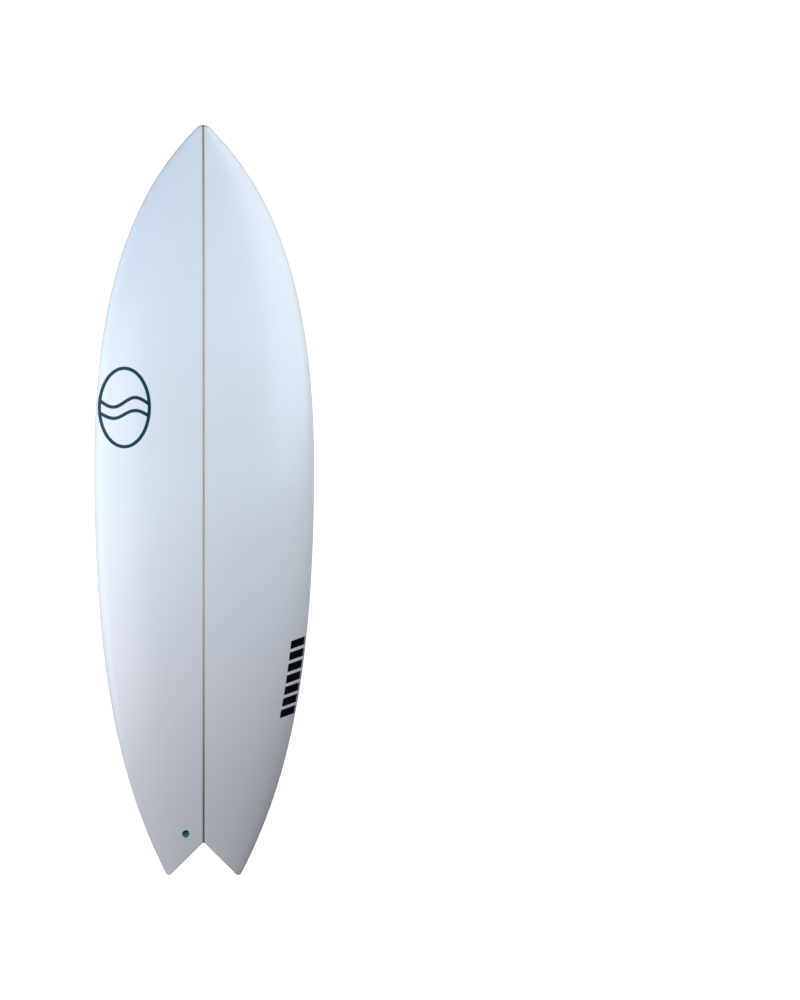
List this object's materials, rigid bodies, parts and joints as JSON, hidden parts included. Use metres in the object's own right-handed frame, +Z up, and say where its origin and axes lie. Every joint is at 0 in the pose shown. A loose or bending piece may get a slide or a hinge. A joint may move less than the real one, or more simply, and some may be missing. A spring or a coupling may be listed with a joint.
{
  "type": "surfboard",
  "caption": "Short swallow-tail surfboard with a foam core, wooden stringer and glass skin, fin boxes with set screws under the tail and a leash plug in the deck.",
  "frame": {"origin": "on the floor under the middle of the board's length and width, with the board lying on its bottom", "axes": "+Z up through the deck, +Y towards the nose, +X towards the right rail as seen from the deck with the nose up"},
  "size_m": [0.509, 1.7268, 0.1166],
  "materials": {
    "foam": "shaped closed-cell foam, very light",
    "stringer_wood": "planed straight-grained wood",
    "laminate": "woven glass in clear resin over white foam, sanded satin",
    "box_plastic": "moulded black plastic, sanded flush",
    "bed_resin": "cast filled resin",
    "stainless": "turned stainless steel",
    "plug_plastic": "moulded pale blue plastic",
    "teal_print": "dark teal ink on thin paper under the skin",
    "black_print": "black ink on thin paper under the skin"
  },
  "bodies": {
    "board": {"foam_left": "foam", "foam_right": "foam", "stringer": "stringer_wood", "bottom_laminate": "laminate", "deck_laminate": "laminate", "fin_box_left": "box_plastic", "fin_box_right": "box_plastic", "fin_box_bed_left": "bed_resin", "fin_box_bed_right": "bed_resin", "leash_cup": "plug_plastic", "leash_bar": "stainless", "leash_plug_bed": "bed_resin", "deck_emblem_sheet": "teal_print", "deck_bars_sheet": "black_print", "bottom_emblem_sheet": "teal_print", "bottom_round_sheet": "black_print", "bottom_bars_sheet": "black_print"},
    "fin_screw_left_front": {"fin_screw_left_front": "stainless"},
    "fin_screw_left_rear": {"fin_screw_left_rear": "stainless"},
    "fin_screw_right_front": {"fin_screw_right_front": "stainless"},
    "fin_screw_right_rear": {"fin_screw_right_rear": "stainless"}
  },
  "joints": [
    {"name": "fin_screw_left_front_turn", "type": "hinge", "parent": "board", "child": "fin_screw_left_front", "pos_m": [-0.13364, -0.58785, 0.03073], "axis": [0.0152, 0.5449, -0.8384], "continuous": true},
    {"name": "fin_screw_left_rear_turn", "type": "hinge", "parent": "board", "child": "fin_screw_left_rear", "pos_m": [-0.13632, -0.68387, 0.04248], "axis": [-0.0204, -0.7307, -0.6824], "continuous": true},
    {"name": "fin_screw_right_front_turn", "type": "hinge", "parent": "board", "child": "fin_screw_right_front", "pos_m": [0.13364, -0.58785, 0.03073], "axis": [-0.0152, 0.5449, -0.8384], "continuous": true},
    {"name": "fin_screw_right_rear_turn", "type": "hinge", "parent": "board", "child": "fin_screw_right_rear", "pos_m": [0.13632, -0.68387, 0.04248], "axis": [0.0204, -0.7307, -0.6824], "continuous": true}
  ]
}
